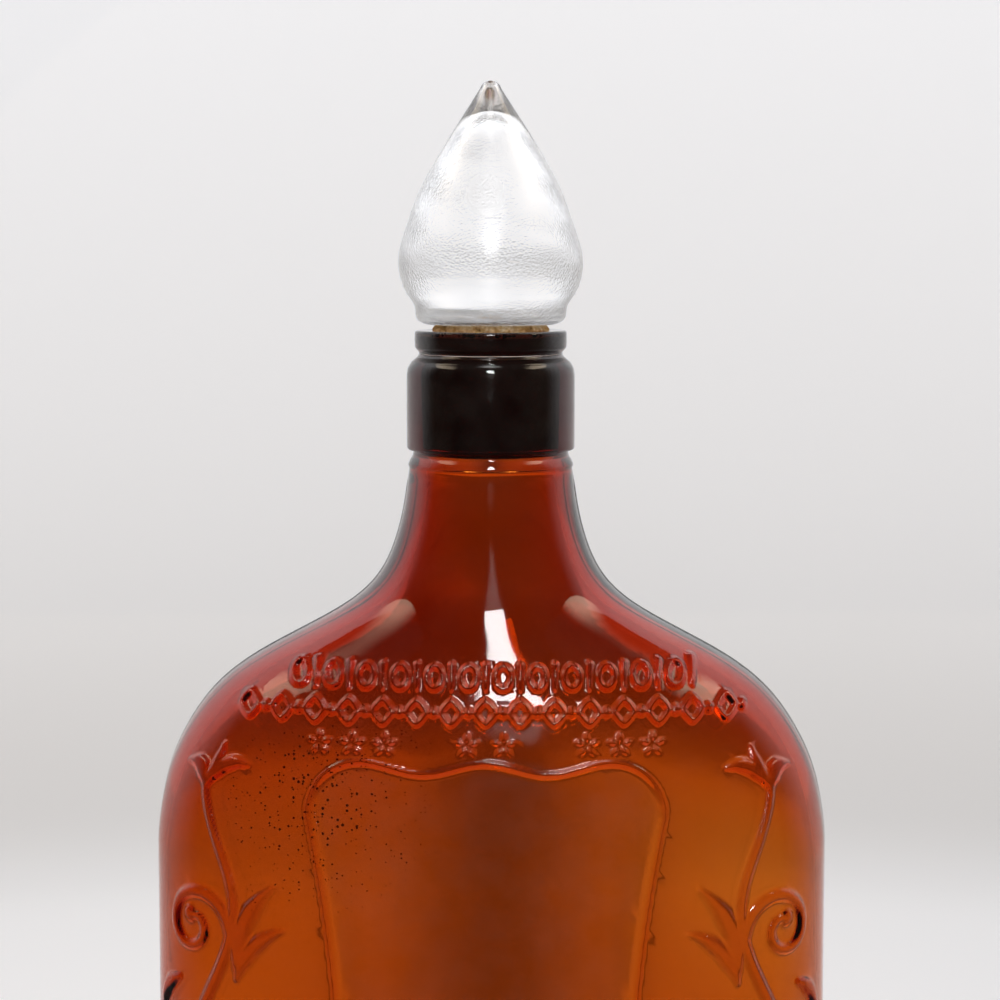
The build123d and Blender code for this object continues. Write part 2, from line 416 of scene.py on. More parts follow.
# %% [markdown]
# ## Rows on the shoulder
#
# Two rows of small raised ornament cross the front of the shoulder: an egg-and-dart border, and
# below it lozenges with beads. Under them stand a few low rosettes. They are old, common mouldings.
# Each motif is a few strokes, laid again at an even pitch.

# %% Shoulder rows
ROW_PITCH = 6.3
LINE_HALF_WIDTH = 0.68  # of the raised line that draws each motif
ROW_RELIEF = 0.62
EGG_HEIGHT, LOZENGE_HEIGHT, ROSETTE_HEIGHT = 182.4, 176.3, 170.6
ROSETTE_PLACES = (-30.5, -24.5, -18.5, -3.4, 3.4, 18.5, 24.5, 30.5)


def ring(middle, half_width, half_height, steps=24, sharp=1.0):
    """A closed path round a middle: an ellipse, or a lozenge where sharp is above 1."""
    turn = np.linspace(0, 2 * np.pi, steps + 1)
    cosine, sine = np.cos(turn), np.sin(turn)
    return np.column_stack(
        [
            middle[0] + half_width * np.sign(cosine) * np.abs(cosine) ** sharp,
            middle[1] + half_height * np.sign(sine) * np.abs(sine) ** sharp,
        ]
    )


def egg_and_dart(height, motifs):
    """Upright egg rings with a tapering dart between each pair."""
    for place in (np.arange(motifs) - (motifs - 1) / 2) * ROW_PITCH:
        lay_stroke(ring((place, height), 1.45, 1.95), LINE_HALF_WIDTH, ROW_RELIEF, grid_x)
        dart = [(place + ROW_PITCH / 2, height + 2.2), (place + ROW_PITCH / 2, height - 2.2)]
        lay_stroke(dart, (0.85, 0.7, 0.4), ROW_RELIEF, grid_x)


def lozenges_and_beads(height, motifs):
    """Lozenge rings with a round bead between each pair."""
    for place in (np.arange(motifs) - (motifs - 1) / 2) * ROW_PITCH:
        diamond = ring((place, height), 1.8, 2.1, 16, 1.6)
        lay_stroke(diamond, LINE_HALF_WIDTH, ROW_RELIEF, grid_x)
        bead = [(place + ROW_PITCH / 2, height + 0.15), (place + ROW_PITCH / 2, height - 0.15)]
        lay_stroke(bead, 1.05, ROW_RELIEF, grid_x)


def rosette(middle, height):
    """Five petals round a middle, low enough to read only where the light catches them."""
    for turn in np.arange(5) * 2 * np.pi / 5 + np.pi / 2:
        out = np.array([np.cos(turn), np.sin(turn)])
        petal = [np.array(middle) + 0.7 * out, np.array(middle) + 1.9 * out]
        lay_stroke(petal, (0.35, 0.75, 0.45), height, grid_x)


egg_and_dart(EGG_HEIGHT, 12)
lozenges_and_beads(LOZENGE_HEIGHT, 15)
for place in ROSETTE_PLACES:
    rosette((place, ROSETTE_HEIGHT), ROW_RELIEF * 0.7)
print(f"shoulder rows up to {relief.max():.2f} mm")

# %% [markdown]
# ## The scrolling vine
#
# A vine climbs each side of the panel. Its stem sways from side to side, and in every bend it
# throws off a curl that winds in to a berry, with leaves in the corners. It wraps towards the side
# of the bottle, where a pattern set out straight across would be stretched. So it is set out in
# distance round the body.

# %% Vine
VINE_RELIEF = 0.78
STEM_MIDDLE = 53.0  # distance round the body from the middle of the face
STEM_SWAY = 5.2
STEM_WAVE = 62.0
VINE_BOTTOM = 30.0
VINE_TOP = 161.0
CURL_RADIUS = 8.6
CURL_TIGHTNESS = 1.45  # how far the logarithm of a curl's radius falls
LEAF = (0.7, 2.1, 1.9, 0.5)  # half widths from stalk to tip
BIG_LEAF = (0.7, 2.5, 2.3, 0.5)
NOWHERE = -999.0  # the place given to points of the other vine


def stem_place(z):
    """The stem's distance round the body at a height: a sine about its middle."""
    return STEM_MIDDLE + STEM_SWAY * np.sin(2 * np.pi * (z - VINE_BOTTOM) / STEM_WAVE)


def curl(middle, radius, start, way, turns=1.3):
    """A spiral that winds in: its radius falls evenly in the logarithm as it turns."""
    t = np.linspace(0, 1, 40)
    turn = start + way * 2 * np.pi * turns * t
    out = radius * np.exp(-CURL_TIGHTNESS * t)
    return np.column_stack([middle[0] + out * np.cos(turn), middle[1] + out * np.sin(turn)])


def bent(start, end, belly, steps=12):
    """A path from start to end that bows sideways by belly: a parabola across the straight line."""
    start, end = np.array(start, float), np.array(end, float)
    t = np.linspace(0, 1, steps)[:, None]
    across = np.array([start[1] - end[1], end[0] - start[0]]) / np.hypot(*(end - start))
    return start + t * (end - start) + 4 * belly * t * (1 - t) * across


def vine_paths():
    """Every stroke of one vine as (path, half widths)."""
    z = np.linspace(VINE_BOTTOM, VINE_TOP, 80)
    paths = [(np.column_stack([stem_place(z), z]), (1.1, 1.6, 1.7, 1.6, 1.4, 0.9))]
    for number in range(4):
        bend = VINE_BOTTOM - 4 + STEM_WAVE * (0.25 + 0.5 * number)
        way = 1 if number % 2 == 0 else -1  # the stem bows outwards on even bends
        middle = (stem_place(bend) - way * (CURL_RADIUS + 0.4), bend)
        spiral = curl(middle, CURL_RADIUS, 0 if way > 0 else np.pi, way)
        berry = np.array([spiral[-1], spiral[-1] + 0.3])
        paths += [(spiral, (1.6, 1.5, 1.35, 1.15, 1.0)), (berry, (1.9, 1.9))]
        stalk = stem_place(bend) + way * 1.0
        upper = bent((stalk, bend - 8), (stalk + way * 7.5, bend + 9), way * 2.4)
        lower = bent((stalk, bend - 9), (stalk + way * 9.5, bend + 1), way * 1.8)
        low = (middle[0] - way * 4, bend - CURL_RADIUS - 2)
        under = bent(low, (low[0] - way * 6, low[1] - 7), -way * 1.6)
        paths += [(upper, BIG_LEAF), (lower, LEAF), (under, (0.7, 2.0, 1.7, 0.45))]
    top = (stem_place(VINE_TOP), VINE_TOP)
    paths.append((bent(top, (top[0] - 8.5, top[1] + 4.5), -2.2), (0.8, 2.2, 1.9, 0.5)))
    paths.append((bent(top, (top[0] + 7.0, top[1] + 4.0), 1.8), (0.8, 2.2, 1.8, 0.5)))
    paths.append((bent(top, (top[0] - 0.8, top[1] + 8.0), 0.8), (0.8, 2.0, 1.6, 0.5)))
    return paths


round_distance = np.broadcast_to(from_middle[None, :], grid_x.shape)
for sign in (-1, 1):
    side_place = np.where(np.sign(grid_x) == sign, round_distance, NOWHERE)
    for path, widths in vine_paths():
        lay_stroke(path, widths, VINE_RELIEF, side_place)
print(f"vine of {len(vine_paths())} strokes a side")

# %% [markdown]
# ## The mould seam
#
# The mould opened in two halves. Where they met, a fine ridge runs up both sides of the bottle. It
# is a rounded ridge over the columns nearest to the side, faded out at the heel and the neck.

# %% Mould seam
SEAM_HALF_WIDTH = 0.75
SEAM_HEIGHT = 0.2
SEAM_LIMIT = 0.28  # highest that any relief may stand at the seam
SIDE_LIMIT = 0.78  # and well away from it
from_side = quarter - from_middle
seam_fade = smooth_step(RELIEF_BOTTOM, RELIEF_BOTTOM + 6, fine_heights) * (
    1 - smooth_step(RELIEF_TOP - 4, RELIEF_TOP, fine_heights)
)
squeeze = form[0] / BODY_HALF_WIDTH  # the columns close up where the bottle narrows
seam_share = from_side[None, :] * squeeze[:, None] / SEAM_HALF_WIDTH
relief += SEAM_HEIGHT * bump(seam_share) * seam_fade[:, None]
# The vine flattens where it reaches the seam, as it would jam in the mould if it stood up there.
limit = SEAM_LIMIT + (SIDE_LIMIT - SEAM_LIMIT) * smooth_step(2.0, 12.0, from_side)
relief = np.minimum(relief, limit)
print(f"relief from {relief.min():.2f} to {relief.max():.2f} mm")

# %% [markdown]
# ## Raising the relief
#
# Each point moves along the glass's own normal by its relief, as the mould pressed it. The normal
# comes from the grid: it is square to the step to the next column and to the step to the next row.

# %% Raise the relief


def grid_normals(x, y, z):
    """Unit normals: the cross product of the step round and the step up, with the columns
    closing."""
    points = np.stack([x, y, np.broadcast_to(z, x.shape)], axis=-1)
    round_step = np.roll(points, -1, axis=1) - np.roll(points, 1, axis=1)
    up_step = np.gradient(points, axis=0)
    normal = np.cross(round_step, up_step)
    return normal / np.linalg.norm(normal, axis=-1, keepdims=True), points


normals, outside = grid_normals(grid_x, grid_y, grid_z)
outside = outside + relief[..., None] * normals
reach = np.abs(outside).max(axis=(0, 1))
print(f"outside reaches x {reach[0]:.2f} and y {reach[1]:.2f} mm")

# %% [markdown]
# ## The finish, the foot and the inside
#
# Glassmakers call the top of a bottle its finish, because it was shaped last, with a tool turned in
# the soft glass. So it is a turned profile: lip, groove, tall collar, groove and neck ring. The
# profile goes on over the lip and down the bore to the hollow, so the glass is one closed skin with
# real thickness.

# %% Profile tools


def rounded(corners, steps=5):
    """A profile of straight runs with each corner (radius, height, rounding) replaced by a parabola
    that leaves one run and joins the next at the rounding's distance from the corner."""
    rows = []
    corners = np.array(corners, float)
    for index, (radius, height, rounding) in enumerate(corners):
        here = np.array([radius, height])
        if rounding == 0 or index in (0, len(corners) - 1):
            rows.append(here[None, :])
            continue
        back = corners[index - 1, :2] - here
        on = corners[index + 1, :2] - here
        back, on = back / np.hypot(*back), on / np.hypot(*on)
        t = np.linspace(0, 1, steps)[:, None]
        start, end = here + rounding * back, here + rounding * on
        rows.append((1 - t) ** 2 * start + 2 * t * (1 - t) * here + t * t * end)
    return np.vstack(rows)


# (radius, height, rounding) from the neck up the outside, over the lip and down the bore
FINISH = [
    (15.62, 219.35, 0.0),
    (15.72, 219.62, 0.15),
    (15.35, 220.6, 0.6),
    (14.75, 221.45, 0.4),
    (14.75, 222.35, 0.3),
    (15.95, 222.45, 0.6),
    (15.97, 230.0, 0.0),
    (15.95, 238.8, 2.2),
    (13.7, 240.15, 0.6),
    (13.55, 240.9, 0.35),
    (14.4, 241.75, 0.45),
    (14.45, 243.4, 0.0),
    (14.42, 245.0, 0.55),
    (10.95, 245.0, 0.5),
    (8.9, 242.4, 0.6),
    (8.5, 232.0, 0.0),
    (8.4, 222.6, 0.4),
    (12.1, 222.0, 0.8),
    (12.3, 217.4, 0.0),
]
finish = rounded(FINISH, 4)
print(f"finish profile of {len(finish)} rows")

# %% Rows of the whole skin
FLOOR = 7.5
WALL = 2.6
NECK_WALL = 3.3
SIDE_THINNER = 0.5  # the glass stretched most on its way to the narrow sides
INNER_TOP = 216.4
INNER_SHOULDER_FOOT = 144.0
INNER_HEEL = 8.0
FOOT_WIDTH = 4.0
PUSH_UP = 3.5  # height of the hollow under the foot
PUSH_UP_SLOPE = 6.0  # width of the slope up into it


def ripple(turn, height):
    """How much thicker the blown wall is from place to place: a few slow sines added up. The glass
    settled a little to the left."""
    return (
        -0.28 * np.cos(turn)
        + 0.22 * np.sin(2 * turn + height / 31.0 + 0.6)
        + 0.16 * np.sin(3 * turn - height / 23.0 + 2.1)
        + 0.11 * np.sin(5 * turn + height / 14.0 + 4.0)
        + 0.07 * np.sin(turn + height / 9.0 + 1.3)
    )


def foot_rows():
    """Half width, half depth, squareness and height from under the middle, out over the foot's ring
    and up round the heel, which is a quarter circle."""
    base_inset = HEEL_RADIUS + FOOT_WIDTH
    rows = []
    for share in (0.3, 0.6, 0.85, 0.97):
        width = BODY_HALF_WIDTH - base_inset - PUSH_UP_SLOPE
        depth = BODY_HALF_DEPTH - base_inset - PUSH_UP_SLOPE
        rows.append((width * share, depth * share, BODY_SQUARENESS, PUSH_UP))
    for t in np.linspace(0, 1, 6):
        inset = base_inset + PUSH_UP_SLOPE * (1 - t)
        height = PUSH_UP * (1 - smooth_step(0, 1, t))
        rows.append((BODY_HALF_WIDTH - inset, BODY_HALF_DEPTH - inset, BODY_SQUARENESS, height))
    for t in np.linspace(0, np.pi / 2, 9):
        inset = HEEL_RADIUS * (1 - np.sin(t))
        height = HEEL_RADIUS * (1 - np.cos(t))
        rows.append((BODY_HALF_WIDTH - inset, BODY_HALF_DEPTH - inset, BODY_SQUARENESS, height))
    return np.array(rows)


def inner_rows():
    """The same four values down the inside, from the foot of the neck to the middle of the floor:
    the flask's own form less the wall, then a quarter circle and a flat floor."""
    shoulder = np.linspace(INNER_TOP, INNER_SHOULDER_FOOT, 52)
    body = np.linspace(INNER_SHOULDER_FOOT, FLOOR + INNER_HEEL, 24)[1:]
    heights = np.concatenate([shoulder, body])
    rows = np.column_stack([*flask_section(heights, WALL, NECK_WALL, WALL), heights])
    rows[:, 0] += SIDE_THINNER * smooth_step(20, 60, heights) * (1 - smooth_step(185, 210, heights))
    turn = np.linspace(np.pi / 2, 0, 8)[1:]
    inset = WALL + INNER_HEEL * (1 - np.sin(turn))
    heel = np.column_stack(
        [
            BODY_HALF_WIDTH - inset,
            BODY_HALF_DEPTH - inset,
            np.full(len(turn), BODY_SQUARENESS),
            FLOOR + INNER_HEEL * (1 - np.cos(turn)),
        ]
    )
    floor = [heel[-1] * (share, share, 1, 1) for share in (0.8, 0.5, 0.2)]
    return np.vstack([rows, heel, floor])


def ring_points(rows, turns, wavy=False):
    """Points for rows of (half width, half depth, squareness, height) at the given turns. A wavy
    one is the blown inside: each point is drawn in towards the axis by the ripple, less near the
    neck and the floor's middle, and pushed in behind the panel, as the mould pushed the glass."""
    x, y = around(turns[None, :], *rows[:, :3].T[..., None])
    z = np.broadcast_to(rows[:, 3][:, None], x.shape)
    if wavy:
        near_neck = smooth_step(180, 215, z)
        reach = np.hypot(x, y) + 1e-9
        depth = ripple(turns[None, :], z) * (1 - 0.75 * near_neck) * np.minimum(1, reach / 12)
        x, y = x * (1 - depth / reach), y * (1 - depth / reach)
        behind_panel = (1 - smooth_step(-5.0, 3.0, panel_depth(x, z))) * (y < -8) * (z > FLOOR + 4)
        y = y + PANEL_RECESS * behind_panel
    return np.stack([x, y, z], axis=-1)


# %% [markdown]
# ## Joining the skin
#
# The rows below and above the relief use the coarse columns, and the inside uses half of them.
# Between rows every cell is a face. A coarse cell beside a split one takes in the extra points on
# the shared edge, so no gap opens between them. Through a gap, light would miss the glass's colour.

# %% Split cells where there is relief
SPLIT_ABOVE = 0.022  # a cell is split where its relief spans more than this


def split_faces(heights_grid, first):
    """Corners and counts of the relief grid's faces. A coarse cell whose relief varies becomes
    SPLIT by SPLIT quads. Any other is one face, which also has the points that a split neighbour
    puts on its edges."""
    rows = (heights_grid.shape[0] - 1) // SPLIT
    wrapped = np.concatenate([heights_grid, heights_grid[:, :1]], axis=1)
    low = np.full((rows, COLUMNS), np.inf)
    high = np.full((rows, COLUMNS), -np.inf)
    for i in range(SPLIT + 1):
        for j in range(SPLIT + 1):
            block = wrapped[i : i + rows * SPLIT : SPLIT, j : j + COLUMNS * SPLIT : SPLIT]
            low, high = np.minimum(low, block), np.maximum(high, block)
    split = high - low > SPLIT_ABOVE
    fine_columns = COLUMNS * SPLIT

    def number(row, column):
        return first + row * fine_columns + np.mod(column, fine_columns)

    cell_row, cell_column = np.nonzero(split)
    inner_row, inner_column = np.meshgrid(np.arange(SPLIT), np.arange(SPLIT), indexing="ij")
    row = (cell_row[:, None] * SPLIT + inner_row.ravel()).ravel()
    column = (cell_column[:, None] * SPLIT + inner_column.ravel()).ravel()
    fine = np.column_stack(
        [
            number(row, column),
            number(row, column + 1),
            number(row + 1, column + 1),
            number(row + 1, column),
        ]
    )
    cell_row, cell_column = np.nonzero(~split)
    steps = np.arange(SPLIT)
    edge_row = np.concatenate([0 * steps, steps, 0 * steps + SPLIT, SPLIT - steps])
    edge_column = np.concatenate([steps, 0 * steps + SPLIT, SPLIT - steps, 0 * steps])
    loop = number(cell_row[:, None] * SPLIT + edge_row, cell_column[:, None] * SPLIT + edge_column)
    padded = np.pad(split, ((1, 1), (0, 0)))
    below = padded[cell_row, cell_column]
    above = padded[cell_row + 2, cell_column]
    right = split[cell_row, (cell_column + 1) % COLUMNS]
    left = split[cell_row, cell_column - 1]
    wanted = np.repeat(np.column_stack([below, right, above, left]), SPLIT, axis=1)
    wanted[:, ::SPLIT] = True
    corners = np.concatenate([fine.ravel(), loop[wanted]])
    counts = np.concatenate([np.full(len(fine), 4), wanted.sum(axis=1)])
    print(f"{split.sum()} of {split.size} cells split, {len(counts)} faces")
    return corners, counts


def band_faces(lower, upper):
    """Quads between two closed rows of point numbers."""
    return np.column_stack([lower, np.roll(lower, -1), np.roll(upper, -1), upper])


def fan_faces(row, pole, up):
    """Triangles from a closed row to one point."""
    pole = np.full(len(row), pole)
    return np.column_stack([row, np.roll(row, -1), pole] if up else [np.roll(row, -1), row, pole])


# %% Build the bottle's skin
FINISH_WEAR = 0.7  # dust on the finish


def bottle_skin():
    """Points, corners, counts and wear of the whole closed skin, from under the foot, up the
    outside and down the inside. Dust clings to the panel and the finish."""
    coarse_turns = fine_turns[::SPLIT]
    circles = np.column_stack([finish[:, 0], finish[:, 0], np.full(len(finish), 2.0), finish[:, 1]])
    blocks = [
        ring_points(foot_rows(), coarse_turns),
        outside,
        ring_points(circles, coarse_turns),
        ring_points(inner_rows(), coarse_turns[::2], wavy=True),
    ]
    poles = [[0, 0, PUSH_UP], [0, 0, FLOOR]]
    points = np.vstack([block.reshape(-1, 3) for block in blocks] + [poles])
    starts = np.cumsum([0] + [block.shape[0] * block.shape[1] for block in blocks])
    wear = np.zeros(len(points))
    wear[starts[1] : starts[2]] = dusty.ravel()
    wear[starts[2] : starts[3]] = FINISH_WEAR

    foot, side, top, inner = [
        start + np.arange(block.shape[0] * block.shape[1]).reshape(block.shape[:2])
        for start, block in zip(starts, blocks)
    ]
    pairs = [
        *zip(foot[:-1], foot[1:]),
        (foot[-1], side[0, ::SPLIT]),
        (side[-1, ::SPLIT], top[0]),
        *zip(top[:-1], top[1:]),
        *zip(inner[:-1], inner[1:]),
    ]
    quads = np.vstack([band_faces(lower, upper) for lower, upper in pairs])
    # Where the inside has half the columns, a face takes in the extra point of the row above it.
    last = top[-1]
    joint = np.column_stack(
        [last[::2], last[1::2], np.roll(last[::2], -1), np.roll(inner[0], -1), inner[0]]
    )
    fans = np.vstack(
        [
            fan_faces(foot[0], len(points) - 2, False),
            fan_faces(inner[-1], len(points) - 1, True),
        ]
    )
    corners, counts = split_faces(relief, starts[1])
    rest = (quads, joint, fans)
    corners = np.concatenate([corners] + [faces.ravel() for faces in rest])
    counts = np.concatenate([counts] + [np.full(len(faces), faces.shape[1]) for faces in rest])
    return points, corners, counts, wear


skin = bottle_skin()
print(f"skin of {len(skin[0])} points before the unused ones go")

# %% [markdown]
# ## Materials
#
# Amber bottle glass is soda-lime glass coloured with iron and sulphur. Its colour lies in the
# depth: a thin wall is orange and a thick collar almost black. A tinted surface would be one colour
# all over. So the surface is clear, and the colour comes from absorption through the volume. Red
# light gets through best, blue hardly at all. Every finish is built with one small function that
# adds a node.

# %% Node tool


def node(tree, kind, inputs=None, **settings):
    """Adds a node, sets its options, and sets or links its inputs by name or number. A node given
    as an input stands for its first output."""
    made = tree.nodes.new(kind)
    for key, value in settings.items():
        setattr(made, key, value)
    for key, value in (inputs or {}).items():
        if isinstance(value, bpy.types.Node):
            value = value.outputs[0]
        if isinstance(value, bpy.types.NodeSocket):
            tree.links.new(value, made.inputs[key])
        else:
            made.inputs[key].default_value = value
    return made


def new_material(name):
    """An empty material and its output node."""
    material = bpy.data.materials.new(name)
    material.use_nodes = True
    tree = material.node_tree
    tree.nodes.clear()
    return material, tree, tree.nodes.new("ShaderNodeOutputMaterial")


# %% Bottle glass


def bottle_glass(name, roughness, absorb, density, ripple, haze, frost=(0.0, 0.0)):
    """Smooth glass that absorbs through its depth. Its surface has slow ripples, the chill marks of
    the mould: ripple is their length and depth in mm. haze is the share of the surface that dust
    covers, where it is clean and where the mesh marks wear. frost is what wear adds: roughness, and
    the depth in mm of fine pits 0.4 mm apart. Dust comes and goes in patches 7 mm across, as it
    does on old glass."""
    material, tree, output = new_material(name)
    place = node(tree, "ShaderNodeTexCoord").outputs["Object"]
    wear = node(tree, "ShaderNodeAttribute", attribute_name="wear").outputs["Fac"]
    wave = node(
        tree,
        "ShaderNodeTexNoise",
        {"Vector": place, "Scale": 1 / (ripple[0] * MM), "Detail": 1.5, "Roughness": 0.4},
    )
    shape = node(
        tree, "ShaderNodeBump", {"Height": wave, "Strength": 1.0, "Distance": ripple[1] * MM}
    )
    if frost[0]:
        roughness = node(
            tree, "ShaderNodeMath", {0: wear, 1: frost[0], 2: roughness}, operation="MULTIPLY_ADD"
        )
        grit = node(
            tree,
            "ShaderNodeTexNoise",
            {"Vector": place, "Scale": 1 / (0.4 * MM), "Detail": 2.0, "Roughness": 0.5},
        )
        pits = node(tree, "ShaderNodeMath", {0: grit, 1: wear}, operation="MULTIPLY")
        shape = node(
            tree,
            "ShaderNodeBump",
            {"Height": pits, "Strength": 1.0, "Distance": frost[1] * MM, "Normal": shape},
        )
    glass = node(
        tree,
        "ShaderNodeBsdfPrincipled",
        {
            "Base Color": linear("#ffffff"),
            "Roughness": roughness,
            "IOR": 1.52,
            "Transmission Weight": 1.0,
            "Normal": shape,
        },
    )
    cloud = node(
        tree,
        "ShaderNodeTexNoise",
        {"Vector": place, "Scale": 1 / (7 * MM), "Detail": 4.0, "Roughness": 0.6},
    )
    patches = node(
        tree,
        "ShaderNodeMapRange",
        {"Value": cloud, "From Min": 0.35, "From Max": 0.7, "To Min": 0.2, "To Max": 1.0},
    )
    more = haze[1] - haze[0]
    cover = node(
        tree, "ShaderNodeMath", {0: wear, 1: more, 2: haze[0]}, operation="MULTIPLY_ADD"
    )
    cover = node(tree, "ShaderNodeMath", {0: cover, 1: patches}, operation="MULTIPLY")
    dust = node(tree, "ShaderNodeBsdfDiffuse", {"Color": linear("#d8cfc4")})
    surface = node(tree, "ShaderNodeMixShader", {0: cover, 1: glass, 2: dust})
    volume = node(tree, "ShaderNodeVolumeAbsorption", {"Color": absorb, "Density": density})
    tree.links.new(surface.outputs["Shader"], output.inputs["Surface"])
    tree.links.new(volume.outputs["Volume"], output.inputs["Volume"])
    return material


# %% [markdown]
# ## Amber, and its specks
#
# Liquor that ran down the glass dried to brown specks, thickest beside the panel. Voronoi cells
# give one round spot each. Its size is left to chance and falls off away from the thickest place,
# and small ones vanish, so the specks thin out evenly.

# %% Amber bottle glass
SPECK_PLACE = (-0.031, -0.028, 0.160)  # where most of the specks lie, left of the panel
SPECK_CELL = 0.9 * MM
SPECK_REACH = (0.006, 0.032)  # metres from that place over which they thin out
AMBER = linear("#f3ca3f")
AMBER_DENSITY = 1157.0  # each colour fades by this times (1 - its share of the amber) in a metre


def add_specks(material):
    """Dark specks up to 0.5 mm across: cells 0.9 mm wide, each with a spot whose radius is a chance
    number to the power 1.6 times the widest that its place allows."""
    tree = material.node_tree
    output = next(n for n in tree.nodes if n.type == "OUTPUT_MATERIAL")
    glass = output.inputs["Surface"].links[0].from_socket
    place = node(tree, "ShaderNodeTexCoord").outputs["Object"]
    cells = node(tree, "ShaderNodeTexVoronoi", {"Vector": place, "Scale": 1 / SPECK_CELL})
    away = node(tree, "ShaderNodeVectorMath", {0: place, 1: SPECK_PLACE}, operation="DISTANCE")
    widest = node(
        tree,
        "ShaderNodeMapRange",
        {
            "Value": away.outputs["Value"],
            "From Min": SPECK_REACH[0],
            "From Max": SPECK_REACH[1],
            "To Min": 0.34,
            "To Max": 0.03,
        },
    )
    chance = node(tree, "ShaderNodeSeparateColor", {"Color": cells.outputs["Color"]})
    few = node(tree, "ShaderNodeMath", {0: chance, 1: 1.6}, operation="POWER")
    size = node(tree, "ShaderNodeMath", {0: widest, 1: few}, operation="MULTIPLY")
    spot = node(tree, "ShaderNodeMath", {0: cells, 1: size}, operation="LESS_THAN")
    dried = node(tree, "ShaderNodeBsdfDiffuse", {"Color": linear("#4a1c0a")})
    speckled = node(tree, "ShaderNodeMixShader", {0: spot, 1: glass, 2: dried})
    tree.links.new(speckled.outputs["Shader"], output.inputs["Surface"])


amber_glass = bottle_glass(
    "amber_soda_lime_glass", 0.035, AMBER, AMBER_DENSITY, (13.0, 0.12), (0.006, 0.022)
)
add_specks(amber_glass)
through = [math.exp(-AMBER_DENSITY * (1 - share) * 2 * WALL * MM) for share in AMBER[:3]]
print("two walls let through (red, green, blue):", [round(share, 3) for share in through])

# %% Bottle piece
bottle = mesh_object("amber_bottle", *skin[:3], amber_glass, skin[3])
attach(bottle, "flask")
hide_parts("bottle")

# %% [markdown]
# ## The stopper
#
# The finial was blown into a mould through its peg: a hollow flame of clear glass. It could be a
# solid drop, but then it would turn the room upside down like a lens, and a hollow one only bends
# it near its edges. The profile runs from the tip down the outside, round the peg's foot, and up
# the blow hole and the hollow. Slow waves and fine folds in it are left from the blowing, and its
# inside is cloudy.

# %% Stopper profile
FINIAL_FOOT = 246.2
FINIAL_TIP = 291.9
TIP_RADIUS = 2.07
PEG_RADIUS = 5.8
PEG_FOOT = 221.2
BLOW_HOLE_RADIUS = 2.6

# Height and radius up the outside of the flame, and up its hollow.
FLAME = np.array(
    [
        (246.2, 12.4),
        (246.7, 13.6),
        (247.8, 14.3),
        (249.4, 14.45),
        (251.3, 15.6),
        (255.1, 17.27),
        (258.2, 17.55),
        (261.6, 16.9),
        (264.8, 15.83),
        (271.3, 13.37),
        (277.8, 9.9),
        (284.2, 6.0),
        (290.3, 2.07),
    ]
)
HOLLOW = np.array(
    [
        (246.75, 5.0),
        (246.8, 11.5),
        (247.4, 13.1),
        (249.4, 13.5),
        (251.4, 14.4),
        (255.2, 15.8),
        (258.3, 16.1),
        (264.5, 14.3),
        (270.3, 11.7),
        (276.5, 7.9),
        (280.0, 5.8),
        (282.7, 4.0),
        (284.3, 2.2),
        (284.9, 0.9),
    ]
)
HOLLOW_TOP = 284.95


def along_curve(points, count):
    """Points evenly spaced along a smooth curve through the given ones: two cubic splines, one for
    each coordinate, over the distance travelled."""
    travel = np.concatenate([[0], np.cumsum(np.hypot(*np.diff(points, axis=0).T))])
    first, last = np.diff(points, axis=0)[[0, -1]] / np.diff(travel)[[0, -1], None]
    at = np.linspace(0, travel[-1], count)
    return np.column_stack(
        [smooth_through(travel, points[:, i], at, first[i], last[i]) for i in range(2)]
    )


def stopper_profile():
    """Radius and height from the tip down the outside, round the peg's foot and up the hollow, and
    the number of the first row in the hollow. At the tip the height falls with the square of a
    share, and the radius grows as its sine."""
    share = np.linspace(0, 1, 7)[1:-1]
    tip = np.column_stack(
        [TIP_RADIUS * np.sin(share * 1.15) / np.sin(1.15), FINIAL_TIP - 1.6 * share**2]
    )
    peg = rounded(
        [
            (12.4, FINIAL_FOOT, 0.0),
            (PEG_RADIUS, FINIAL_FOOT, 0.6),
            (PEG_RADIUS, 236.0, 0.0),
            (PEG_RADIUS - 0.05, PEG_FOOT, 0.9),
            (BLOW_HOLE_RADIUS, PEG_FOOT, 0.5),
            (BLOW_HOLE_RADIUS, 235.0, 0.0),
            (BLOW_HOLE_RADIUS, 246.7, 0.5),
            (5.0, 246.75, 0.0),
        ]
    )[1:]
    outside_rows = np.vstack([tip, along_curve(FLAME[::-1], 64)[:, ::-1], peg])
    return np.vstack([outside_rows, along_curve(HOLLOW, 56)[1:, ::-1]]), len(outside_rows)


stopper_rows, first_in_hollow = stopper_profile()
print(f"stopper profile of {len(stopper_rows)} rows, {first_in_hollow} of them outside")

# %% Turned skin
STOPPER_COLUMNS = 128


def turned(radius, height, poles, closed=False):
    """Points, corners and counts of rows turned about the axis: x = r cos t, y = r sin t. radius
    and height have a column for each turn. poles are the heights of the points that close the first
    and the last row. A closed one joins its last row to its first instead."""
    columns = radius.shape[1]
    turns = np.arange(columns) / columns * 2 * np.pi
    points = np.stack([radius * np.cos(turns), radius * np.sin(turns), height], axis=-1)
    numbers = np.arange(radius.size).reshape(radius.shape)
    points = np.vstack([points.reshape(-1, 3)] + [[0, 0, pole] for pole in poles])
    pairs = list(zip(numbers[:-1], numbers[1:]))
    if closed:
        pairs.append((numbers[-1], numbers[0]))
    quads = np.vstack([band_faces(after, before) for before, after in pairs])
    ends = ((numbers[0], radius.size, True), (numbers[-1], radius.size + 1, False))
    fans = [fan_faces(*end) for end in ends[: len(poles)]]
    corners = np.concatenate([quads.ravel()] + [fan.ravel() for fan in fans])
    counts = np.concatenate([np.full(len(quads), 4)] + [np.full(len(fan), 3) for fan in fans])
    return points, corners, counts


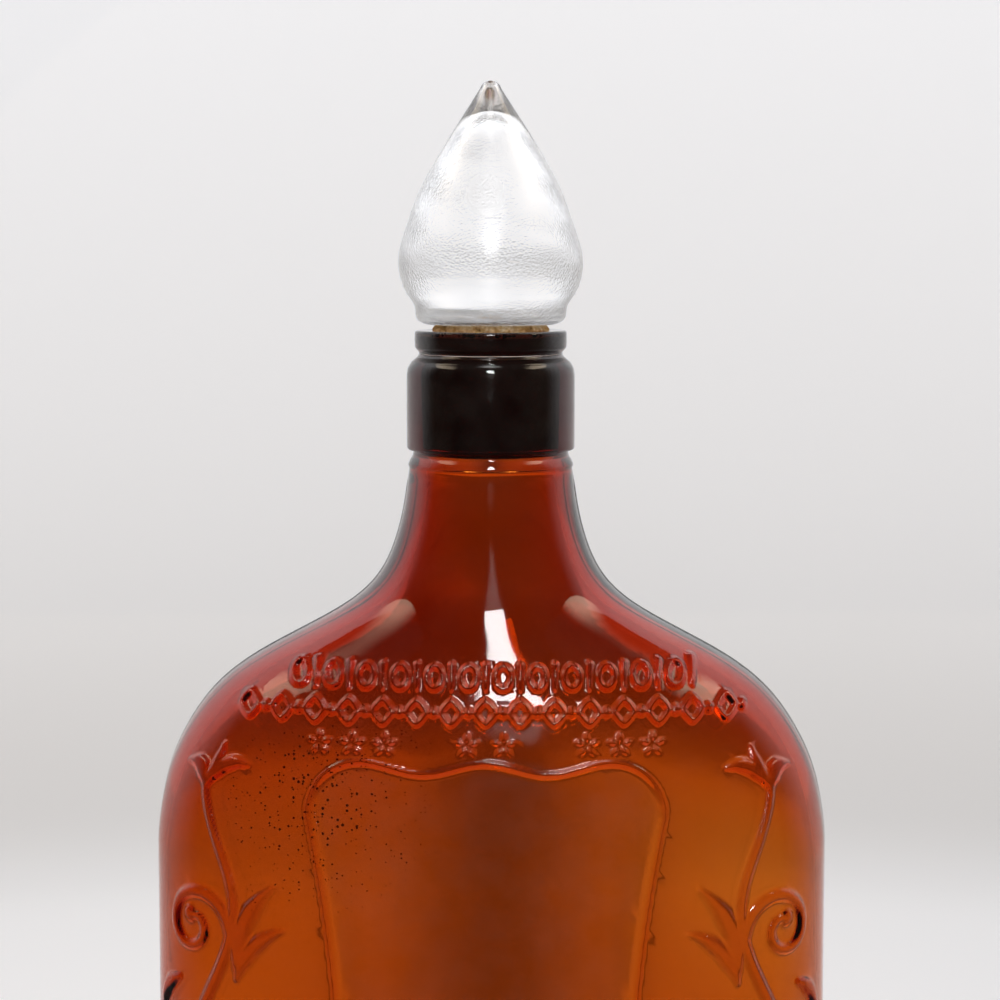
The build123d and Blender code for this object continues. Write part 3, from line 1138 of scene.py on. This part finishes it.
def stopper_ripple(turn, radius, height):
    """Slow sines in the blown wall and fine folds low in it, none on the peg."""
    in_finial = smooth_step(247.0, 250.0, height) * np.minimum(1, radius / 8)
    folds = 0.09 * np.sin(4.2 * height + 1.5 * np.sin(turn) + np.sin(3 * turn))
    return in_finial * (
        folds * np.exp(-(((height - 252.5) / 1.8) ** 2))
        + 0.07 * np.sin(2 * turn + height / 6.0)
        + 0.05 * np.sin(3 * turn - height / 4.5 + 1.0)
        + 0.03 * np.sin(7 * turn + height / 9.0)
    )


# %% Stopper piece
turns = np.arange(STOPPER_COLUMNS) / STOPPER_COLUMNS * 2 * np.pi
turn, height = np.meshgrid(turns, stopper_rows[:, 1])
radius = stopper_rows[:, :1] + stopper_ripple(turn, stopper_rows[:, :1], height)
stopper_points, stopper_corners, stopper_counts = turned(radius, height, (FINIAL_TIP, HOLLOW_TOP))

# Wear is high in the cloudy hollow, and on the front where hands have rubbed the flame dull.
x, y, z = stopper_points.T
cloudy = 0.5 + 0.3 * np.sin(3 * np.arctan2(y, x) + z / 2.3) * np.sin(z / 3.1)
cloudy[: first_in_hollow * STOPPER_COLUMNS] = 0
cloudy[-2] = 0  # the tip's pole is outside
rubbed = 0.9 * np.exp(-(((x + 0.5) / 10) ** 2) - ((y + 12) / 9) ** 2 - ((z - 270) / 12) ** 2)

clear_glass = bottle_glass(
    "clear_blown_glass", 0.02, linear("#f7f3e7"), 16.0, (5.0, 0.02), (0.004, 0.05), (0.32, 0.16)
)
stopper = mesh_object(
    "flame_stopper",
    stopper_points,
    stopper_corners,
    stopper_counts,
    clear_glass,
    np.maximum(cloudy, rubbed),
)
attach(stopper, "stopper")
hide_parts("glass_stopper")

# %% [markdown]
# ## The cork
#
# Natural cork is bark: tan, with brown pits where the bark's pores run through it, and crumbly at
# its edges. This one is old, and was cut to a ring round the peg. It shows as a thin gold band
# between the lip and the finial. Below that it is squeezed against the neck. It could stand clear
# of the glass by a hair, but such a gap throws light back and the collar would glow red. So it
# reaches a tenth of a millimetre into the neck's glass.

# %% Cork ring
CORK_FOOT = 222.4
CORK_TOP = 246.1
CORK_BORE = 5.86
CORK_PROFILE = [
    (CORK_BORE, CORK_TOP, 0.0),
    (10.6, CORK_TOP - 0.05, 0.4),
    (11.25, 245.1, 0.3),
    (10.7, 244.7, 0.3),
    (9.02, 242.4, 0.5),
    (8.62, 232.0, 0.0),
    (8.5, 223.2, 0.5),
    (8.2, CORK_FOOT, 0.5),
    (CORK_BORE, CORK_FOOT, 0.0),
]
CORK_COLUMNS = 120
CORK_STEP = 0.6  # longest step down the profile


def cork_rows():
    """The profile with each run cut into even steps, and on up the bore to where it began."""
    profile = rounded(CORK_PROFILE, 4)
    rows = []
    for start, end in zip(profile[:-1], profile[1:]):
        steps = max(1, int(np.hypot(*(end - start)) / CORK_STEP))
        rows.append(start + (end - start) * np.arange(steps)[:, None] / steps)
    bore = np.linspace(CORK_FOOT, CORK_TOP, 12)[:-1]
    return np.vstack(rows + [np.column_stack([np.full(len(bore), CORK_BORE), bore])])


def crumbled(rows):
    """The rows at every turn, with crumbs gone from the top edge: two sines of the turn,
    multiplied, say how much is gone, and the edge draws in and drops by that much."""
    turn = np.arange(CORK_COLUMNS) / CORK_COLUMNS * 2 * np.pi
    radius, height = rows[:, :1], rows[:, 1:]
    coarse = 0.5 + 0.5 * np.sin(9 * turn + 1.7 * np.sin(4 * turn) + height * 1.3)
    fine = 0.5 + 0.5 * np.sin(17 * turn - 2.2 * height + 0.7 * np.sin(5 * turn))
    gone = smooth_step(244.6, 245.6, height) * smooth_step(7.0, 9.0, radius) * coarse * fine
    grain = np.abs(0.05 * np.sin(23 * turn + height * 2.1) * np.sin(5 * turn - height * 1.1))
    return radius - 0.9 * gone - grain * smooth_step(6.2, 7.5, radius), height - 0.5 * gone


# %% Old cut cork


def old_cork(name):
    """Tan bark, cut with a knife and left matte: cells 0.7 mm across give the grain, and noise of 1.8
    mm the brown pits. Below the lip, inside the neck, it is darkened nearly to black."""
    material, tree, output = new_material(name)
    place = node(tree, "ShaderNodeTexCoord").outputs["Object"]
    cells = node(tree, "ShaderNodeTexVoronoi", {"Vector": place, "Scale": 1 / (0.7 * MM)})
    pits = node(
        tree,
        "ShaderNodeTexNoise",
        {"Vector": place, "Scale": 1 / (1.8 * MM), "Detail": 5.0, "Roughness": 0.65},
    )
    bark = node(tree, "ShaderNodeValToRGB", {"Fac": pits})
    bark.color_ramp.elements.new(0.45)
    shades = ((0.36, "#4a2c12"), (0.45, "#d9b272"), (0.62, "#f6e4bc"))
    for element, (at, shade) in zip(bark.color_ramp.elements, shades):
        element.position, element.color = at, linear(shade)
    grain = node(
        tree,
        "ShaderNodeMix",
        {"Factor": cells, "A": bark, "B": linear("#a5783c")},
        data_type="RGBA",
    )
    pitted = node(tree, "ShaderNodeBump", {"Height": pits, "Strength": 0.9, "Distance": 0.4 * MM})
    height = node(tree, "ShaderNodeSeparateXYZ", {"Vector": place}).outputs["Z"]
    # Below the lip, inside the neck, the cork's colour is darkened nearly to black.
    darkening_below_lip = node(
        tree,
        "ShaderNodeMapRange",
        {"Value": height, "From Min": LIP_HEIGHT * MM, "From Max": (LIP_HEIGHT - 1.4) * MM},
    )
    darkened_cork = node(
        tree,
        "ShaderNodeMix",
        {"Factor": darkening_below_lip, "A": grain.outputs["Result"], "B": linear("#1a0d07")},
        data_type="RGBA",
    )
    shader = node(
        tree,
        "ShaderNodeBsdfPrincipled",
        {"Base Color": darkened_cork.outputs["Result"], "Roughness": 0.85, "Normal": pitted},
    )
    tree.links.new(shader.outputs["BSDF"], output.inputs["Surface"])
    return material


# %% Cork piece
cork_skin = turned(*crumbled(cork_rows()), (), closed=True)
cork = mesh_object("cork_ring", *cork_skin, old_cork("old_cut_cork"))
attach(cork, "cork")
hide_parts("cork_sleeve")

# %% [markdown]
# ## The sweep
#
# The bottle stands on a pale sweep: a table that curves up into a wall. A photographer's sweep has
# one wall. Ours is a surface of revolution, so the backdrop is there from every side. The far key
# lamp stands outside it, so the paper lets the lamps' light pass and stops nothing but sight.

# %% Sweep
SWEEP_FLAT = 720.0
SWEEP_BEND = 450.0
SWEEP_TOP = 1500.0
SWEEP_COLUMNS = 180


def sweep_rows():
    """Radius and height of a flat run, a quarter round and an upright wall."""
    turn = np.linspace(0, np.pi / 2, 33)[1:]
    bend = np.column_stack(
        [SWEEP_FLAT + SWEEP_BEND * np.sin(turn), SWEEP_BEND * (1 - np.cos(turn))]
    )
    flat = [(reach, 0) for reach in np.linspace(60, SWEEP_FLAT, 9)]
    wall = [(SWEEP_FLAT + SWEEP_BEND, up) for up in np.linspace(SWEEP_BEND, SWEEP_TOP, 7)[1:]]
    return np.vstack([flat, bend, wall])


radius, height = (np.repeat(column[:, None], SWEEP_COLUMNS, axis=1) for column in sweep_rows().T)
sweep_skin = turned(radius, height, (0,))
print(f"sweep {2 * SWEEP_FLAT + 2 * SWEEP_BEND:.0f} mm across and {SWEEP_TOP:.0f} mm tall")

# %% [markdown]
# ## The sweep's paper
#
# Matte paper lit by soft lamps grades from light to dark and back. Aiming real lamps at each part
# of the wall would light the bottle as well. So the paper also glows, by a table, and only sight,
# reflections and refractions see the glow. Numbers for it go by station, which is the distance from
# the axis plus the height, in metres. Its slightly cool tint evens out the warmth of the side
# lamps.

# %% How the paper is graded
GLOW_BEHIND = [  # (station, glow) in the half behind the bottle
    (0.30, 0.415),
    (0.545, 0.415),
    (0.60, 0.365),
    (0.68, 0.295),
    (0.76, 0.270),
    (0.86, 0.275),
    (0.975, 0.320),
    (1.165, 0.385),
    (1.37, 0.445),
    (1.55, 0.500),
    (1.80, 0.605),
    (2.20, 0.775),
    (2.60, 0.845),
]
GLOW_IN_FRONT = [(0.30, 0.43), (0.75, 0.43), (1.2, 0.55), (1.6, 0.65)]
GLOW_TINT = "#eff5ff"
GLOW_GAIN = 1.1  # makes up for the light that the tint takes
STATIONS = (0.3, 2.7)
# The shade behind the bottle is painted: the SHADE_ numbers shape a painted shade on the paper,
# centred on the far key's line, that only rays through the glass see.
KEY_AZIMUTH = 2.0  # degrees from the front, of the lamp that throws the bottle's shade on the wall
SHADE_DEPTH = 0.63  # share of the light lost right behind the bottle
SHADE_STATIONS = (0.86, 1.22)  # between these the shade widens
SHADE_HALF_WIDTHS = (0.033, 0.55)
SHADE_END = (1.30, 1.33)  # above these the wall is out of the shade, behind the stopper
STOPPER_LIFT = 0.42  # share by which the wall above glows more for rays through glass
FRONT_GLOW = (0.25, -0.35)  # between these places in Y the front's table takes over
DIM_END = (0.5, -0.2)  # between these reflections lose sight of the paper
glows = [glow for station, glow in GLOW_BEHIND]
print(f"glow from {min(glows)} to {max(glows)} behind the bottle")


def table_glow(tree, station, in_front):
    """The glow at a station: a smooth grey ramp through each table's stops, and a mix of the
    two."""
    share = node(
        tree,
        "ShaderNodeMapRange",
        {"Value": station, "From Min": STATIONS[0], "From Max": STATIONS[1]},
    )
    ramps = []
    for stops in (GLOW_BEHIND, GLOW_IN_FRONT):
        ramp = node(tree, "ShaderNodeValToRGB", {"Fac": share})
        ramp.color_ramp.interpolation = "B_SPLINE"
        elements = ramp.color_ramp.elements
        while len(elements) < len(stops):
            elements.new(0.5)
        for element, (at, glow) in zip(elements, stops):
            element.position = (at - STATIONS[0]) / (STATIONS[1] - STATIONS[0])
            element.color = (glow, glow, glow, 1)
        ramps.append(ramp)
    return node(
        tree, "ShaderNodeMix", {"Factor": in_front, "A": ramps[0], "B": ramps[1]}, data_type="FLOAT"
    )


# %% Pale backdrop paper


def seen_shade(tree, place, station, in_front, high, through_glass):
    """A painted shade of the bottle on the wall, which only the glass shows: depth * exp(-(x / half
    width)^2), where x is measured square to the key lamp's light. It is wide on the wall and narrow
    on the table."""
    key_turn = math.radians(KEY_AZIMUTH)
    beside = node(
        tree,
        "ShaderNodeVectorMath",
        {0: place, 1: (math.cos(key_turn), math.sin(key_turn), 0)},
        operation="DOT_PRODUCT",
    )
    half_width = node(
        tree,
        "ShaderNodeMapRange",
        {
            "Value": station,
            "From Min": SHADE_STATIONS[0],
            "From Max": SHADE_STATIONS[1],
            "To Min": SHADE_HALF_WIDTHS[0],
            "To Max": SHADE_HALF_WIDTHS[1],
        },
        interpolation_type="SMOOTHSTEP",
    )
    ratio = node(
        tree, "ShaderNodeMath", {0: beside.outputs["Value"], 1: half_width}, operation="DIVIDE"
    )
    squared = node(tree, "ShaderNodeMath", {0: ratio, 1: ratio}, operation="MULTIPLY")
    minus = node(tree, "ShaderNodeMath", {0: squared, 1: -1.0}, operation="MULTIPLY")
    shade = node(tree, "ShaderNodeMath", {0: minus}, operation="EXPONENT")
    for mask in (in_front, high):
        rest = node(tree, "ShaderNodeMath", {0: 1.0, 1: mask}, operation="SUBTRACT")
        shade = node(tree, "ShaderNodeMath", {0: shade, 1: rest}, operation="MULTIPLY")
    for factor in (through_glass, SHADE_DEPTH):
        shade = node(tree, "ShaderNodeMath", {0: shade, 1: factor}, operation="MULTIPLY")
    return shade


def sweep_paper(name):
    """Matte pale paper that lamps light and that glows by its tables. The half in front of the
    bottle lies in the dim end of the room, so reflections of it are dark."""
    material, tree, output = new_material(name)
    place = node(tree, "ShaderNodeTexCoord").outputs["Object"]
    apart = node(tree, "ShaderNodeSeparateXYZ", {"Vector": place}).outputs
    flat = node(tree, "ShaderNodeVectorMath", {0: place, 1: (1, 1, 0)}, operation="MULTIPLY")
    reach = node(tree, "ShaderNodeVectorMath", {0: flat}, operation="LENGTH").outputs["Value"]
    station = node(tree, "ShaderNodeMath", {0: reach, 1: apart["Z"]}, operation="ADD")
    in_front, dim_end, high = [
        node(
            tree,
            "ShaderNodeMapRange",
            {"Value": value, "From Min": start, "From Max": end},
            interpolation_type="SMOOTHSTEP",
        )
        for value, (start, end) in (
            (apart["Y"], FRONT_GLOW),
            (apart["Y"], DIM_END),
            (station, SHADE_END),
        )
    ]
    rays = node(tree, "ShaderNodeLightPath").outputs
    through_glass = rays["Is Transmission Ray"]
    sight = node(
        tree, "ShaderNodeMath", {0: rays["Is Camera Ray"], 1: through_glass}, operation="MAXIMUM"
    )
    seen = node(tree, "ShaderNodeMath", {0: sight, 1: rays["Is Glossy Ray"]}, operation="MAXIMUM")

    lift = node(tree, "ShaderNodeMath", {0: high, 1: through_glass}, operation="MULTIPLY")
    lift = node(
        tree, "ShaderNodeMath", {0: lift, 1: STOPPER_LIFT, 2: 1.0}, operation="MULTIPLY_ADD"
    )
    glow = table_glow(tree, station, in_front)
    for factor in (lift, seen, GLOW_GAIN):
        glow = node(tree, "ShaderNodeMath", {0: glow, 1: factor}, operation="MULTIPLY")
    light = node(tree, "ShaderNodeEmission", {"Color": linear(GLOW_TINT), "Strength": glow})

    # The paper's normal leans in and up all over, so the lamps light the bend and the wall alike.
    inward = node(tree, "ShaderNodeVectorMath", {0: place, 1: (-1, -1, 0)}, operation="MULTIPLY")
    leaning = node(tree, "ShaderNodeVectorMath", {0: inward, 1: (0, 0, 0.3)}, operation="ADD")
    leaning = node(tree, "ShaderNodeVectorMath", {0: leaning}, operation="NORMALIZE")
    paper = node(tree, "ShaderNodeBsdfDiffuse", {"Color": linear("#cdcdcf"), "Normal": leaning})
    both = node(tree, "ShaderNodeAddShader", {0: paper, 1: light})

    dim = node(tree, "ShaderNodeBsdfDiffuse", {"Color": linear("#303030")})
    unseen = node(
        tree, "ShaderNodeMath", {0: dim_end, 1: sight}, operation="SUBTRACT", use_clamp=True
    )
    # Painted shade: behind the bottle, rays through the glass see the paper mixed towards the dim
    # diffuse, as if it lay in the bottle's shadow.
    shade = seen_shade(tree, place, station, in_front, high, through_glass)
    darker = node(tree, "ShaderNodeMath", {0: unseen, 1: shade}, operation="ADD")
    final = node(tree, "ShaderNodeMixShader", {0: darker, 1: both, 2: dim})
    tree.links.new(final.outputs["Shader"], output.inputs["Surface"])
    material.cycles.use_bump_map_correction = False
    return material


sweep = mesh_object("paper_sweep", *sweep_skin, sweep_paper("pale_backdrop_paper"))
sweep.visible_shadow = False

# %% [markdown]
# ## Light
#
# The highlights in the photograph say where its lamps were: a far one behind the camera, a tall
# narrow box higher in front, a dim one overhead, and a warm panel at each side. Every softbox is
# one area lamp whose light fades to its edges, as cloth over a bulb does, so its reflection has no
# hard rim.

# %% Lamps
AIM_HEIGHT = 0.21  # metres, at the shoulder
MIDDLE_GAIN = 2.2  # brighter in the middle, to make up for the dim edges


def lamp(name, azimuth, elevation, distance, size, power, colour="#ffffff", fades_from=0.1):
    """A softbox aimed at the bottle's shoulder: bright in the middle and fading to its edges from a
    share of its size. Azimuth 0 is in front, 90 to the right; distance in metres from the shoulder,
    size in metres, power in watts."""
    data = bpy.data.lights.new(name, "AREA")
    data.use_nodes = True
    tree = data.node_tree
    spot = node(tree, "ShaderNodeNewGeometry").outputs["Parametric"]
    off = node(tree, "ShaderNodeVectorMath", {0: spot, 1: (0.5, 0.5, 0)}, operation="DISTANCE")
    fade = node(
        tree,
        "ShaderNodeMapRange",
        {
            "Value": off.outputs["Value"],
            "From Min": fades_from,
            "From Max": 0.5,
            "To Min": MIDDLE_GAIN,
            "To Max": 0.0,
        },
        interpolation_type="SMOOTHSTEP",
    )
    tree.links.new(fade.outputs["Result"], tree.nodes["Emission"].inputs["Strength"])
    data.shape = "RECTANGLE"
    data.size, data.size_y = size
    data.energy = power
    data.color = linear(colour)[:3]
    made = bpy.data.objects.new(name, data)
    a, e = math.radians(azimuth), math.radians(elevation)
    made.location = (
        distance * math.cos(e) * math.sin(a),
        -distance * math.cos(e) * math.cos(a),
        AIM_HEIGHT + distance * math.sin(e),
    )
    made.rotation_euler = (math.radians(90) - e, 0, a)
    bpy.context.scene.collection.objects.link(made)
    print(f"{name}: {power} W at {azimuth} degrees round and {elevation} up, {distance} m away")


lamp("far_key", KEY_AZIMUTH, 3.6, 6.0, (1.2, 1.2), 18.0)
lamp("tall_front_box", 2, 29.5, 1.35, (0.25, 0.82), 6.3, fades_from=0.42)
lamp("top_box", 0, 68, 1.5, (0.8, 0.4), 2.0)
lamp("left_panel", -86, 34, 1.5, (1.5, 1.5), 11.0, "#ffeacc", fades_from=0.22)
lamp("right_panel", 90, 34, 1.5, (1.5, 1.5), 13.0, "#ffeacc", fades_from=0.22)

# %% [markdown]
# ## The room
#
# Above the sweep the room is dim in reflections and pale to the eye. One pale colour would do for
# both, but then every edge of the glass would shine with it.

# %% Room
DIM_LEVEL = 0.05
PALE_LEVEL = 0.9
world = bpy.data.worlds.new("dim_room")
world.use_nodes = True
room = world.node_tree
rays = node(room, "ShaderNodeLightPath").outputs
sight = node(
    room,
    "ShaderNodeMath",
    {0: rays["Is Camera Ray"], 1: rays["Is Transmission Ray"]},
    operation="MAXIMUM",
)
level = node(
    room, "ShaderNodeMapRange", {"Value": sight, "To Min": DIM_LEVEL, "To Max": PALE_LEVEL}
)
back = room.nodes["Background"]
back.inputs["Color"].default_value = linear("#f4f4f6")
room.links.new(level.outputs["Result"], back.inputs["Strength"])
bpy.context.scene.world = world

bpy.context.scene.view_settings.view_transform = "Standard"
print(f"room at {DIM_LEVEL} in reflections and {PALE_LEVEL} to the eye")
